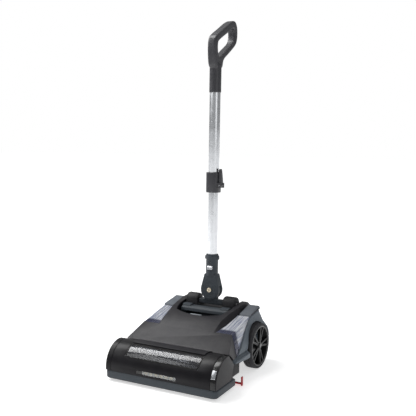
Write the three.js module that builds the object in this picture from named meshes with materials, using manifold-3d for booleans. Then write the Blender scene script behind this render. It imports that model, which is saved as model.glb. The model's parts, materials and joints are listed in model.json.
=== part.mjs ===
// A cordless carpet sweeper: powered brush under a barrel housing, lift-out dust bin,
// and a telescopic handle on a two-axis joint. Millimetres, +Z up, floor at z = 0,
// front towards -Y, x = 0 in the middle of the machine.
import * as THREE from 'three';
import { mergeVertices } from 'three/addons/utils/BufferGeometryUtils.js';
import Module from 'manifold-3d';

const wasm = await Module();
wasm.setup();

// ---- driving dimensions ----
const gap = 0.4;                 // clearance between neighbouring pieces
const wall = 3;                  // moulded shell thickness
const bodyWidth = 380;           // across the bumper
const handleHeight = 1112;       // floor to the top of the hand loop

const barrel = { y: -177, z: 40, radius: 71, wall: 4, bottom: 32 };
const brush = { z: 45, tip: 44, root: 26, core: 15, shaft: 5, rows: 6, twist: 1.6 };
const bumper = { low: 8, reach: 2, depth: 14, back: -128, corner: 16, chamfer: 3 };
const endCap = { length: 20, plate: 3.5, plateRise: 1, rear: [[45, 34], [32, 7], [38, -3]] };
const windowCut = { from: 16.5, to: 57, half: 126 };   // degrees forward of the top
const lamp = { left: -78, right: 58, low: 38, high: 48.8, lens: 3, board: 1.6 };
const wheel = { y: 68, radius: 72, width: 34, tread: 8, axle: 5, inset: 6, clear: 4, spokes: 5 };
const castor = { radius: 15, width: 14, inset: 49, pin: 2.5, cheek: 3.5 };
const motor = { z: 40, radius: 15, length: 66, shaft: 3, pulley: 8 };
const belt = { width: 8, thick: 2, brushPulley: 20, inset: 6 };
const tray = { low: 20, high: 56, floor: 4, narrow: 14, back: 152 };
const lever = { setBack: 8, width: 8, low: 5, thick: 3.6, foot: 1, top: 28, root: 50 };
const belly = { half: 112, front: -30, back: 138, thick: 3 };
const cover = { half: 118, armInner: 93, skin: 3, ridge: 34, lip: 2,
  lipFrom: -31, lipTo: 13 };
const bin = { tubHalf: 117, tubBack: 20, low: 58, lidHalf: 103, lidDrop: 27, wall: 2.5 };
const cradle = { half: 92, front: 67, back: 140, thick: 6, lugIn: 45, lugOut: 90, lugRadius: 23,
  lugRound: 6 };
const pin = { radius: 6, depth: 16 };
const joint = { y: 84, above: 66, lean: 2.1, fork: 33, cheek: 8, slot: 16, bolt: 4 };
const bar = { across: 5.5, down: 42, half: 11, halfHeight: 8.2 };
const socket = { low: 50, high: 117, wall: 3.7 };
const lowerTube = { radius: 15.9, wall: 1.4, top: 520 };
const upperTube = { wall: 1.1, bottom: 328 };
const collar = { low: 319, high: 385, halfX: 21.5, halfY: 20, corner: 12 };
const clamp = { x: 27, z: 343, radius: 5.5, pin: 2, top: 396, half: 9, blade: 5 };
const grip = { length: 240.6, sleeve: 93, sleeveRadius: 19.4, bore: 81, depth: 30, round: 4.5 };

// ---- values that follow from them ----
const half = bodyWidth / 2;
const endFace = half - 1.5;
const barrelEnd = endFace - endCap.length - gap;
const barrelFront = barrel.y - barrel.radius;
const barrelRear = barrel.y + barrel.radius - 7;
const barrelTop = barrel.z + barrel.radius;
const trayFront = barrelRear + 2;
const leverBack = trayFront + lever.setBack + lever.width;
const castorY = leverBack + 8 + castor.radius;
const waist = castorY + castor.radius + 7;
const motorY = trayFront + wall + 8 + motor.radius;
const deck = 2 * wheel.radius + 22;          // height of the deck over the wheels
const ridgeHalf = half - cover.ridge;
const cowlBack = barrelRear + 31;
const binBack = 42;
const fenderIn = cover.half + wall;
const fenderOut = half - 15;
const wheelOut = half - wheel.inset;
const wheelIn = wheelOut - wheel.width;
const jointZ = deck + joint.above;
const lean = THREE.MathUtils.degToRad(joint.lean);
const pitchAxis = {
  y: joint.y + bar.across * Math.cos(lean) - bar.down * Math.sin(lean),
  z: jointZ - bar.across * Math.sin(lean) - bar.down * Math.cos(lean),
};
const upperRadius = lowerTube.radius + gap + upperTube.wall;
const gripBase = handleHeight - jointZ - grip.length;

// ---- finishes ----
const finishes = {
  cover: { color: 0x4a494e, roughness: 0.5, metalness: 0 },
  shell: { color: 0x323135, roughness: 0.42, metalness: 0 },
  slate: { color: 0x42484d, roughness: 0.6, metalness: 0 },
  fender: { color: 0x50575c, roughness: 0.62, metalness: 0 },
  block: { color: 0x5f6368, roughness: 0.7, metalness: 0 },
  black: { color: 0x151517, roughness: 0.25, metalness: 0 },
  matteBlack: { color: 0x1c1c1e, roughness: 0.7, metalness: 0 },
  clear: { color: 0xc4cbdc, roughness: 0.12, metalness: 0 },
  lens: { color: 0xe6e6e0, roughness: 0.15, metalness: 0 },
  satin: { color: 0xd2d4d6, roughness: 0.35, metalness: 1 },
  steel: { color: 0xb8babd, roughness: 0.3, metalness: 1 },
  brass: { color: 0xcdc3af, roughness: 0.4, metalness: 1 },
  grip: { color: 0x3a3a3d, roughness: 0.75, metalness: 0 },
  red: { color: 0xa51923, roughness: 0.4, metalness: 0 },
  bristle: { color: 0x2a2a30, roughness: 0.9, metalness: 0 },
  tab: { color: 0x8c9196, roughness: 0.5, metalness: 0 },
  board: { color: 0x1f4a33, roughness: 0.6, metalness: 0 },
};

// ---- shape helpers ----
function solid(geometry) {
  geometry.deleteAttribute('normal');
  geometry.deleteAttribute('uv');
  const merged = mergeVertices(geometry, 1e-4);
  return new wasm.Manifold(new wasm.Mesh({
    numProp: 3,
    vertProperties: merged.attributes.position.array,
    triVerts: new Uint32Array(merged.index.array),
  }));
}

function join(...shapes) {
  return shapes.reduce((sum, shape) => sum.add(shape));
}

function cut(body, ...tools) {
  return tools.reduce((rest, tool) => rest.subtract(tool), body);
}

function addPiece(group, name, shape, finish) {
  const { vertProperties, triVerts } = shape.getMesh();
  const geometry = new THREE.BufferGeometry();
  geometry.setAttribute('position', new THREE.BufferAttribute(vertProperties, 3));
  geometry.setIndex(new THREE.BufferAttribute(triVerts, 1));
  geometry.computeVertexNormals();
  const mesh = new THREE.Mesh(geometry, new THREE.MeshStandardMaterial(finishes[finish]));
  mesh.name = name;
  group.add(mesh);
  return mesh;
}

function slab(outline, length, bevel, holes) {
  const shape = new THREE.Shape(outline.map(([u, v]) => new THREE.Vector2(u, v)));
  for (const hole of holes) {
    shape.holes.push(new THREE.Path(hole.map(([u, v]) => new THREE.Vector2(u, v))));
  }
  const geometry = new THREE.ExtrudeGeometry(shape, {
    depth: length - 2 * bevel,
    bevelEnabled: bevel > 0,
    bevelThickness: bevel,
    bevelSize: bevel,
    bevelOffset: -bevel,
    bevelSegments: bevel > 4 ? 2 : 1,
    curveSegments: 12,
  });
  return geometry.translate(0, 0, bevel);
}

// An outline of [y, z] points drawn out along X between two stations.
function sideSlab(outline, x0, x1, bevel = 0, holes = []) {
  const [from, to] = [Math.min(x0, x1), Math.max(x0, x1)];
  const geometry = slab(outline, to - from, bevel, holes);
  const turn = new THREE.Matrix4().makeBasis(
    new THREE.Vector3(0, 1, 0), new THREE.Vector3(0, 0, 1), new THREE.Vector3(1, 0, 0));
  return solid(geometry.applyMatrix4(turn).translate(from, 0, 0));
}

// An outline of [x, z] points drawn out along Y.
function frontSlab(outline, y0, y1, bevel = 0) {
  const geometry = slab(outline, y1 - y0, bevel, []);
  return solid(geometry.rotateX(Math.PI / 2).translate(0, y1, 0));
}

// An outline of [x, y] points drawn out along Z.
function planSlab(outline, z0, z1, bevel = 0) {
  return solid(slab(outline, z1 - z0, bevel, []).translate(0, 0, z0));
}

function box(x0, x1, y0, y1, z0, z1) {
  const geometry = new THREE.BoxGeometry(Math.abs(x1 - x0), Math.abs(y1 - y0), z1 - z0);
  return solid(geometry.translate((x0 + x1) / 2, (y0 + y1) / 2, (z0 + z1) / 2));
}

function rodX(radius, x0, x1, y, z, sides = 20) {
  const geometry = new THREE.CylinderGeometry(radius, radius, Math.abs(x1 - x0), sides);
  return solid(geometry.rotateZ(Math.PI / 2).translate((x0 + x1) / 2, y, z));
}

function rodY(radius, y0, y1, x, z, sides = 20) {
  const geometry = new THREE.CylinderGeometry(radius, radius, y1 - y0, sides);
  return solid(geometry.translate(x, (y0 + y1) / 2, z));
}

function rodZ(radius, z0, z1, sides = 24) {
  const geometry = new THREE.CylinderGeometry(radius, radius, z1 - z0, sides);
  return solid(geometry.rotateX(Math.PI / 2).translate(0, 0, (z0 + z1) / 2));
}

function pipeZ(radius, thickness, z0, z1) {
  return cut(rodZ(radius, z0, z1), rodZ(radius - thickness, z0 - 1, z1 + 1));
}

// Points on a circle in the side view; angles in degrees from straight up, positive to the front.
function arc(centreY, centreZ, radius, from, to, steps = 14) {
  return Array.from({ length: steps + 1 }, (_, i) => {
    const angle = THREE.MathUtils.degToRad(from + (to - from) * i / steps);
    return [centreY - radius * Math.sin(angle), centreZ + radius * Math.cos(angle)];
  });
}

function ringSector(inner, outer, from, to, x0, x1) {
  const outline = [
    ...arc(barrel.y, barrel.z, outer, from, to),
    ...arc(barrel.y, barrel.z, inner, to, from),
  ];
  return sideSlab(outline, x0, x1);
}

function roundedRectangle(halfX, halfY, radius, steps = 3) {
  const corners = [[1, 1, 0], [-1, 1, 90], [-1, -1, 180], [1, -1, 270]];
  return corners.flatMap(([sx, sy, start]) => Array.from({ length: steps + 1 }, (_, i) => {
    const angle = THREE.MathUtils.degToRad(start + 90 * i / steps);
    return [
      sx * (halfX - radius) + radius * Math.cos(angle),
      sy * (halfY - radius) + radius * Math.sin(angle),
    ];
  }));
}

// A box drawn out along Y through stations, each with its own height and widths.
function loft(stations) {
  const last = stations.length - 1;
  const geometry = new THREE.BoxGeometry(2, 1, 1, 1, last, 1);
  const points = geometry.attributes.position;
  for (let i = 0; i < points.count; i++) {
    const station = stations[Math.round((points.getY(i) + 0.5) * last)];
    const up = points.getZ(i) > 0;
    const reach = up ? station.topHalf : station.lowHalf;
    points.setXYZ(i, points.getX(i) * reach, station.y, up ? station.top : station.low);
  }
  return solid(geometry);
}

// The same stations drawn in by a wall, open below.
function shrink(stations, thickness) {
  return stations.map((station, i) => ({
    y: station.y + (i === 0 ? thickness : 0) - (i === stations.length - 1 ? thickness : 0),
    low: station.low - 40,
    top: station.top - thickness,
    lowHalf: station.lowHalf - thickness,
    topHalf: station.topHalf - thickness,
  }));
}

// ---- barrel housing and what closes it ----
function rearAngle(radius, reach) {
  return -THREE.MathUtils.radToDeg(Math.asin(reach / radius));
}

function barrelOutline(inset) {
  const radius = barrel.radius - inset;
  const back = barrelRear - inset;
  const over = arc(barrel.y, barrel.z, radius, 90, rearAngle(radius, back - barrel.y), 22);
  return [[barrel.y - radius, barrel.bottom + gap], ...over, [back, barrel.bottom + gap]];
}

function brushHousing() {
  const shell = cut(
    sideSlab(barrelOutline(0), -barrelEnd, barrelEnd),
    sideSlab(barrelOutline(barrel.wall).map(([y, z]) => [y, z > barrel.bottom + 1 ? z : z - 9]),
      -barrelEnd + barrel.wall, barrelEnd - barrel.wall));
  return cut(shell,
    ringSector(barrel.radius - barrel.wall - 3, barrel.radius + 3,
      windowCut.from, windowCut.to, -windowCut.half, windowCut.half),
    box(lamp.left, lamp.right, barrelFront - 2, barrelFront + barrel.wall + 2, lamp.low, lamp.high),
    box(-windowCut.half, windowCut.half, barrelRear - 8, barrelRear + 2, tray.high + 1, 76),
    box(-barrelEnd + barrel.wall, -barrelEnd + barrel.wall + belt.width + 8,
      barrelRear - 8, barrelRear + 2, 0, 74),
    rodX(brush.shaft + 4, -barrelEnd - 2, -barrelEnd + 9, barrel.y, brush.z),
    rodX(brush.tip + 2.5, barrelEnd - 9, barrelEnd + 2, barrel.y, brush.z, 40),
    box(barrelEnd - 9, barrelEnd + 2, barrel.y - 20, barrel.y + 20, 0, brush.z));
}

function endOutline(radius) {
  const rear = endCap.rear.map(([dy, dz]) => [barrel.y + dy, barrel.z + dz]);
  return [
    [barrel.y - radius, barrel.bottom + gap],
    ...arc(barrel.y, barrel.z, radius, 90, -8, 18),
    ...rear,
    [rear.at(-1)[0], barrel.bottom + gap],
  ];
}

function beltCover() {
  const outer = sideSlab(endOutline(barrel.radius), -endFace, -barrelEnd - gap, 1.5);
  const pocket = rodX(44, -endFace + wall, -barrelEnd + 2, barrel.y, barrel.z + 12, 40);
  return cut(outer, pocket);
}

function endBand() {
  const from = barrelEnd + gap;
  const to = endFace - endCap.plate - gap;
  const plateSeat = ringSector(barrel.radius - 5, barrel.radius + 4, 50, 71, from + 1, to - 1);
  const outer = sideSlab(endOutline(barrel.radius - 1), from, to);
  const pocket = rodX(42, from - 2, to - wall, barrel.y, barrel.z + 12, 40);
  return cut(outer, plateSeat, pocket);
}

function endMarker() {
  const from = barrelEnd + gap + 1 + gap;
  const to = endFace - endCap.plate - 1 - 2 * gap;
  return ringSector(barrel.radius - 5 + gap, barrel.radius - 0.2, 50.5, 70.5, from, to);
}

function bumperStrip() {
  const front = barrelFront - bumper.reach;
  const inX = half - bumper.depth;
  const corner = bumper.corner;
  const bend = (sign, radius, order) => Array.from({ length: 6 }, (_, i) => {
    const angle = THREE.MathUtils.degToRad(18 * (order > 0 ? i : 5 - i));
    return [
      sign * (half - corner + radius * Math.cos(angle)),
      front + corner - radius * Math.sin(angle),
    ];
  });
  const outline = [
    [half, bumper.back], ...bend(1, corner, 1), ...bend(-1, corner, -1), [-half, bumper.back],
    [-inX, bumper.back], ...bend(-1, corner - bumper.depth, 1),
    ...bend(1, corner - bumper.depth, -1), [inX, bumper.back],
  ];
  return planSlab(outline, bumper.low, barrel.bottom, bumper.chamfer);
}

function ledBoard() {
  const front = barrelFront + barrel.wall + gap;
  return box(lamp.left + 2, lamp.right - 2, front, front + lamp.board, lamp.low + 1, lamp.high - 1);
}

function ledLens() {
  return box(lamp.left + gap, lamp.right - gap, barrelFront + 0.6, barrelFront + 0.6 + lamp.lens,
    lamp.low + gap, lamp.high - gap);
}

// ---- brush, motor and belt ----
function bristles() {
  const count = brush.rows * 2;
  const outline = Array.from({ length: count }, (_, i) => {
    const angle = Math.PI * 2 * i / count;
    const radius = i % 2 ? brush.root : brush.tip;
    return new THREE.Vector2(radius * Math.cos(angle), radius * Math.sin(angle));
  });
  const from = -barrelEnd + barrel.wall + belt.width + 2 * belt.inset - 2;
  const to = barrelEnd - belt.inset - 3;
  const steps = 18;
  const geometry = new THREE.ExtrudeGeometry(new THREE.Shape(outline),
    { depth: to - from, steps, bevelEnabled: false });
  const points = geometry.attributes.position;
  for (let i = 0; i < points.count; i++) {
    const twist = brush.twist * points.getZ(i) / (to - from);
    const [x, y] = [points.getX(i), points.getY(i)];
    points.setXY(i, x * Math.cos(twist) - y * Math.sin(twist),
      x * Math.sin(twist) + y * Math.cos(twist));
  }
  geometry.rotateY(Math.PI / 2).translate(from, 0, 0);
  return cut(solid(geometry.translate(0, barrel.y, brush.z)),
    rodX(brush.core + gap, from - 1, to + 1, barrel.y, brush.z));
}

const beltLeft = -barrelEnd + barrel.wall + 2;
const beltRight = beltLeft + belt.width;

function brushCore() {
  return join(
    rodX(brush.core, beltRight + 1.5, barrelEnd - belt.inset - 2, barrel.y, brush.z),
    rodX(brush.shaft, -barrelEnd - 3, barrelEnd - 1, barrel.y, brush.z, 16));
}

function brushPulley() {
  return cut(rodX(belt.brushPulley, beltLeft, beltRight, barrel.y, brush.z, 28),
    rodX(brush.shaft + gap, beltLeft - 1, beltRight + 1, barrel.y, brush.z, 16));
}

function beltOutline(grow) {
  const large = belt.brushPulley + grow;
  const small = motor.pulley + grow;
  const reach = Math.hypot(motorY - barrel.y, motor.z - brush.z);
  const tilt = THREE.MathUtils.radToDeg(Math.atan2(motor.z - brush.z, motorY - barrel.y));
  const open = THREE.MathUtils.radToDeg(Math.acos((large - small) / reach));
  const start = -90 + tilt;
  return [
    ...arc(barrel.y, brush.z, large, start + open, start + 360 - open, 18),
    ...arc(motorY, motor.z, small, start - open, start + open, 10),
  ];
}

function driveBelt() {
  return sideSlab(beltOutline(gap + belt.thick), beltLeft, beltRight, 0, [beltOutline(gap)]);
}

const motorEnd = beltRight + 32;

function driveMotor() {
  return cut(
    join(rodX(motor.radius, motorEnd, motorEnd + motor.length, motorY, motor.z),
      rodX(7, motorEnd - 4, motorEnd + 1, motorY, motor.z, 16)),
    rodX(motor.shaft + gap, motorEnd - 5, motorEnd + 20, motorY, motor.z, 16));
}

function motorPulley() {
  return join(rodX(motor.pulley, beltLeft, beltRight, motorY, motor.z, 20),
    rodX(motor.shaft, beltLeft, motorEnd + 18, motorY, motor.z, 16));
}

function brushBush(left) {
  if (left) {
    return cut(rodX(brush.shaft + 4 - gap, -barrelEnd - 5, -barrelEnd + barrel.wall,
      barrel.y, brush.z), rodX(brush.shaft + gap, -barrelEnd - 8, 0, barrel.y, brush.z, 16));
  }
  const from = barrelEnd - barrel.wall;
  const disc = rodX(brush.tip + 2, from, barrelEnd - gap, barrel.y, brush.z, 32)
    .intersect(box(from - 1, barrelEnd + 1, barrel.y - 60, barrel.y + 60, bumper.low, 200));
  return cut(disc,
    rodX(brush.shaft + gap, from - 1, barrelEnd + 1, barrel.y, brush.z, 16));
}

// ---- chassis ----
function trayOutline(inset) {
  const wide = barrelEnd - 2 - inset;
  const slim = cover.half + tray.narrow - inset;
  const back = tray.back - inset;
  const [front, step] = [trayFront + inset, waist - inset];
  return [[wide, front], [wide, step], [slim, step], [slim, back],
    [-slim, back], [-slim, step], [-wide, step], [-wide, front]];
}

function castorBay(side, grow) {
  const middle = side * (half - castor.inset);
  const reach = castor.width / 2 + grow;
  const [y0, y1] = [castorY - castor.radius - grow, castorY + castor.radius + grow];
  return { middle, reach, y0, y1, top: 2 * castor.radius + grow };
}

function baseTray() {
  let shape = cut(planSlab(trayOutline(0), tray.low, tray.high),
    planSlab(trayOutline(wall), tray.low + tray.floor, tray.high + 1));
  for (const side of [-1, 1]) {
    const bay = castorBay(side, 0.5 + castor.cheek);
    const void_ = castorBay(side, 0.5);
    shape = join(shape,
      box(bay.middle - bay.reach, bay.middle + bay.reach, bay.y0, bay.y1, tray.low, bay.top),
      box(bay.middle - bay.reach, bay.middle + bay.reach, castorY - 8, castorY + 8, 9, tray.low + 1));
    shape = cut(shape,
      box(void_.middle - void_.reach, void_.middle + void_.reach, void_.y0, void_.y1, -1, void_.top),
      rodX(castor.pin + gap, bay.middle - 20, bay.middle + 20, castorY, castor.radius, 16));
  }
  const beltSlot = box(-barrelEnd + wall + 3, beltRight + 2, trayFront - 2, trayFront + 6,
    tray.low - 1, tray.high + 1);
  return cut(shape, beltSlot);
}

function bellyPlate() {
  return planSlab(
    [[-belly.half, belly.front], [belly.half, belly.front], [belly.half, belly.back],
      [-belly.half, belly.back]], tray.low - gap - belly.thick, tray.low - gap, 1);
}

function rearWiper() {
  return box(-barrelEnd + 20, barrelEnd - 20, barrelRear + gap, trayFront - gap, 4, 30);
}

function rearHousing() {
  const top = deck - 1.5;
  const outline = [[binBack + 2, tray.high + gap], [binBack + 2, deck - 8], [64, deck - 6],
    [68, top], [136, top], [148, top - 14], [156, deck - 56], [156, tray.high + gap]];
  const inner = [[binBack + 5, tray.high - 9], [binBack + 5, deck - 11], [65, deck - 9],
    [70, top - 3], [135, top - 3], [145, top - 15], [153, deck - 57], [153, tray.high - 9]];
  const rail = (side) => box(side * (cradle.half + 3), side * (cover.half - 1), 50, 134,
    top - 2, deck + 4);
  return cut(
    join(sideSlab(outline, -cover.half, cover.half, 2), rail(-1), rail(1)),
    sideSlab(inner, -cover.half + wall, cover.half - wall),
    rodY(10, 140, 160, 0, powerZ));
}

const powerZ = deck - 46;

function powerButton() {
  return join(rodY(9, 153.6, 159.5, 0, powerZ), rodY(5, 149, 154, 0, powerZ, 16));
}

// The lower rear edge of the bin wings, which the fenders follow.
const wingEdge = [[cowlBack + 1, 80], [-40, 111], [0, deck - 24], [binBack - 2, deck + 2]];

function fender(side) {
  const edge = wingEdge.map(([y, z]) => [y, z - 2 * gap]);
  const outline = [...edge, [112, deck + 9], [128, deck - 26], [152, deck - 53],
    [158, tray.high + 30], [158, tray.high + 1], [waist + 20, tray.high + 1],
    [trayFront, tray.high + 11], [trayFront, edge[0][1]]];
  const inner = [[-20, 100], [10, deck - 22], [binBack, deck - 4], [108, deck + 4], [122, deck - 28],
    [146, deck - 55], [152, tray.high + 30], [152, tray.high - 9], [-20, tray.high - 9]];
  const section = [[fenderIn, 40], [half - 7, 40], [half - 7, 70], [half - 18, 80],
    [fenderOut, 82], [fenderOut, 100], [half - 31, deck + 2], [half - 31, deck + 20],
    [fenderIn, deck + 20]].map(([x, z]) => [side * x, z]);
  const well = rodX(wheel.radius + wheel.clear, side * (wheelIn - 3), side * (half + 20),
    wheel.y, wheel.radius, 36);
  const body = sideSlab(outline, side * fenderIn, side * half)
    .intersect(frontSlab(section, trayFront - 1, 170));
  return cut(body,
    well,
    box(side * fenderIn, side * (wheelIn - 3), trayFront - 1, castorY, 40, 200),
    box(side * fenderOut, side * half, 0, 170, 40, 200),
    sideSlab(inner, side * (fenderIn + wall), side * (wheelIn - 3 - wall)),
    rodX(wheel.axle + gap, side * (fenderIn - 2), side * half, wheel.y, wheel.radius));
}

function shoulderCap(side) {
  const outline = [[binBack, deck + 3], [binBack + 2, deck + 8], [112, deck + 22], [122, deck + 20],
    [126, deck + 12], [113, deck + 10]];
  const section = [[fenderIn, deck], [half - 32, deck], [half - 32, deck + 10],
    [half - 37, deck + 22], [half - 60, deck + 24], [fenderIn, deck + 24]];
  return sideSlab(outline, side * fenderIn, side * half)
    .intersect(frontSlab(section.map(([x, z]) => [side * x, z]), 30, 130));
}

// ---- wheels ----
function tyre() {
  return cut(rodX(wheel.radius, 0, wheel.width, 0, 0, 40),
    rodX(wheel.radius - wheel.tread, -1, wheel.width + 1, 0, 0, 40));
}

function rim() {
  const outer = wheel.radius - wheel.tread - gap;
  const ring = cut(rodX(outer, 2, wheel.width - 2, 0, 0, 30),
    rodX(outer - 5, 0, wheel.width, 0, 0, 30));
  const spoke = (turn) => {
    const outline = [[-3, 8], [3, 8], [5, outer - 2], [-1, outer - 2]];
    const geometry = slab(outline, 7, 0, []);
    geometry.rotateZ(turn).rotateY(Math.PI / 2).translate(wheel.width - 10, 0, 0);
    return solid(geometry);
  };
  const spokes = Array.from({ length: 2 * wheel.spokes }, (_, i) => {
    const pair = Math.floor(i / 2) * 2 * Math.PI / wheel.spokes;
    return spoke(pair + (i % 2 ? 0.17 : -0.17));
  });
  const hub = rodX(13, 2, wheel.width - 3, 0, 0);
  return cut(join(ring, hub, ...spokes), rodX(wheel.axle + gap, 0, wheel.width, 0, 0, 16));
}

function hubCap() {
  return rodX(8, wheel.width - 2.6, wheel.width - 0.4, 0, 0, 20);
}

function addWheel(root, side) {
  const name = side > 0 ? 'right' : 'left';
  const group = new THREE.Group();
  group.position.set(side * wheelIn, wheel.y, wheel.radius);
  group.rotation.z = side > 0 ? 0 : Math.PI;
  addPiece(group, `tyre_${name}`, tyre(), 'matteBlack');
  addPiece(group, `rim_${name}`, rim(), 'black');
  addPiece(group, `hub_cap_${name}`, hubCap(), 'black');
  root.add(group);
  addPiece(root, `wheel_axle_${name}`, rodX(wheel.axle, side * (fenderIn + wall + 1),
    side * (wheelOut - 3.2), wheel.y, wheel.radius, 16), 'steel');
}

function addCastor(root, side) {
  const name = side > 0 ? 'right' : 'left';
  const middle = side * (half - castor.inset);
  const reach = castor.width / 2;
  addPiece(root, `support_wheel_${name}`, cut(
    rodX(castor.radius, middle - reach, middle + reach, castorY, castor.radius),
    rodX(castor.pin + gap, middle - 20, middle + 20, castorY, castor.radius, 16)), 'matteBlack');
  addPiece(root, `support_pin_${name}`,
    rodX(castor.pin, middle - reach - castor.cheek, middle + reach + castor.cheek,
      castorY, castor.radius, 16), 'steel');
}

// ---- lift-out dust bin and cover ----
const wingTop = [[cowlBack + 1, deck - 22], [binBack, deck + 4]];

function wingHeight(y) {
  const [[y0, z0], [y1, z1]] = wingTop;
  return z0 + (z1 - z0) * (Math.min(y, y1) - y0) / (y1 - y0);
}

function cowlHeight(y) {
  const [front, back] = cowlStations();
  return front.top + (back.top - front.top) * (y - front.y) / (back.y - front.y);
}

function cowlStations() {
  return [
    { y: barrel.y + 25, low: 80, top: barrelTop - 10, lowHalf: half - 4, topHalf: half - 9 },
    { y: cowlBack, low: 80, top: deck - 21, lowHalf: half - 18, topHalf: ridgeHalf },
  ];
}

function panelStations() {
  const start = cowlBack - 16;
  const rise = [[start, cowlHeight(start) - deck - 0.5, 94, 98], [cowlBack, -20, 95, 101],
    [-37, 2, 97, 112], [16, 17, 106, 117], [binBack, 20, 109, 118],
    [binBack + 3, 21, 109, 118], [89, 27, 113, 118], [122, 28, 113, 118], [140, 18, 111, 117], [146, 8, 108, 115]];
  return rise.map(([y, up, topHalf, lowHalf]) => {
    const under = y < cowlBack ? deck - 45 : wingHeight(y) + gap;
    return { y, top: deck + up, low: y > binBack ? under + 1 : under, topHalf, lowHalf };
  });
}

function openingOutline(grow) {
  const side = cover.armInner - grow;
  const bow = Array.from({ length: 9 }, (_, i) => {
    const x = (1 - i / 4) * (82 - grow);
    return [x, -25 + grow + 20 * (x / 82) ** 2];
  });
  return [[side, 200], [side, 38], ...bow, [-side, 38], [-side, 200]];
}

function topCover() {
  const cowl = loft(cowlStations());
  const panel = loft(panelStations());
  const inner = join(loft(shrink(cowlStations(), cover.skin)),
    loft(shrink(panelStations(), cover.skin)));
  const rimWall = cut(planSlab(openingOutline(-cover.skin), 100, 300),
    planSlab(openingOutline(0), 90, 310)).intersect(panel);
  const over = barrel.radius + 2 * gap;
  const tubWay = box(-bin.tubHalf - 1, bin.tubHalf + 1, cowlBack - 6, cowlBack + 4, 60, deck - 25.5);
  const lipHalf = windowCut.half - 2;
  const lip = ringSector(over, over + cover.lip, cover.lipFrom, cover.lipTo, -lipHalf, lipHalf);
  return join(cut(join(cut(join(cowl, panel), inner, tubWay), rimWall),
    planSlab(openingOutline(0), 90, 310),
    rodX(over, -half, half, barrel.y, barrel.z, 64)), lip);
}

function wingStations(inset) {
  return wingTop.map(([y, z], i) => ({
    y: y + (i ? -inset : inset), low: 40, top: z - inset,
    lowHalf: half - (i ? 0 : 6) - inset, topHalf: ridgeHalf - inset,
  }));
}

function binBody(inset) {
  const edge = wingEdge.map(([y, z]) => [y + inset * 0.8, z + inset]);
  const wedge = sideSlab([...edge, [binBack - inset, deck + 60], [edge[0][0], deck + 60]], -half, half);
  const wings = loft(wingStations(inset)).intersect(wedge);
  const front = barrelRear + 13;
  const tub = box(-bin.tubHalf + inset, bin.tubHalf - inset, front + inset, bin.tubBack - inset,
    bin.low + inset, deck - bin.lidDrop);
  return join(wings, tub.intersect(loft([
    { y: front, low: 0, top: cowlHeight(front) - cover.skin - 5, lowHalf: half, topHalf: half },
    { y: cowlBack + 6, low: 0, top: deck - bin.lidDrop, lowHalf: half, topHalf: half },
    { y: binBack, low: 0, top: deck - bin.lidDrop, lowHalf: half, topHalf: half }])));
}

const lidFront = cowlBack + 22;

function dustBin() {
  const lidWell = box(-bin.lidHalf - gap, bin.lidHalf + gap, lidFront, binBack + 5,
    deck - bin.lidDrop, deck + 60);
  const mouth = box(-bin.tubHalf + 8, bin.tubHalf - 8, barrelRear, barrelRear + 20,
    bin.low + bin.wall + 1, 100);
  return cut(binBody(0), binBody(bin.wall), lidWell, mouth);
}

function binLid() {
  const floor = deck - bin.lidDrop + gap;
  const well = (inset, low) => box(-bin.lidHalf + inset, bin.lidHalf - inset, lidFront + gap + inset,
    binBack - (inset ? -5 : 0), low, deck + 60);
  return cut(well(0, floor), well(bin.wall, floor + wall)).intersect(loft(wingStations(0.2)));
}

function gripBar() {
  const outline = [[27, deck], [30, deck + 9], [40, deck + 14], [58, deck + 14], [62, deck + 10],
    [62, deck], [36, deck]];
  const legs = [-1, 1].map((side) => box(side * 70, side * 84, 30, 40,
    deck - bin.lidDrop + wall + 2 * gap, deck + 4));
  const ends = [-1, 1].map((side) => sideSlab([[36, deck + 10], [38, deck + 17], [45, deck + 19],
    [57, deck + 19], [60, deck + 10]], side * 54, side * 84, 1));
  return join(sideSlab(outline, -85, 85, 1), ...legs, ...ends);
}

function binLatch() {
  const low = deck - bin.lidDrop + wall + gap + 4.6;
  return planSlab([[-44, 4], [-4, 4], [-4, 24], [-44, 24]], low, deck - 6, 1.5);
}

// ---- handle joint ----
function cradleBlock() {
  const low = deck - 1;
  const lugFoot = cradle.front + 1;
  let shape = box(-cradle.half, cradle.half, cradle.front, cradle.back, low, low + cradle.thick);
  for (const side of [-1, 1]) {
    const hump = [[lugFoot, low - cradle.lugRound],
      ...arc(pitchAxis.y + 2, pitchAxis.z, cradle.lugRadius, 70, -70, 12),
      [pitchAxis.y + 34, low - cradle.lugRound]];
    shape = join(shape,
      sideSlab(hump, side * cradle.lugIn, side * cradle.lugOut, cradle.lugRound));
  }
  return cut(shape, box(-half, half, 0, 200, low - 30, low),
    rodX(pin.radius + gap, -cradle.half - 5, cradle.half + 5, pitchAxis.y, pitchAxis.z),
    rodX(Math.hypot(bar.half, bar.halfHeight) + 1, -cradle.lugIn, cradle.lugIn,
      pitchAxis.y, pitchAxis.z, 40));
}

function pitchPin(side) {
  return rodX(pin.radius, side * (cradle.lugIn - gap - pin.depth), side * (cradle.lugOut + 1),
    pitchAxis.y, pitchAxis.z, 20);
}

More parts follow.
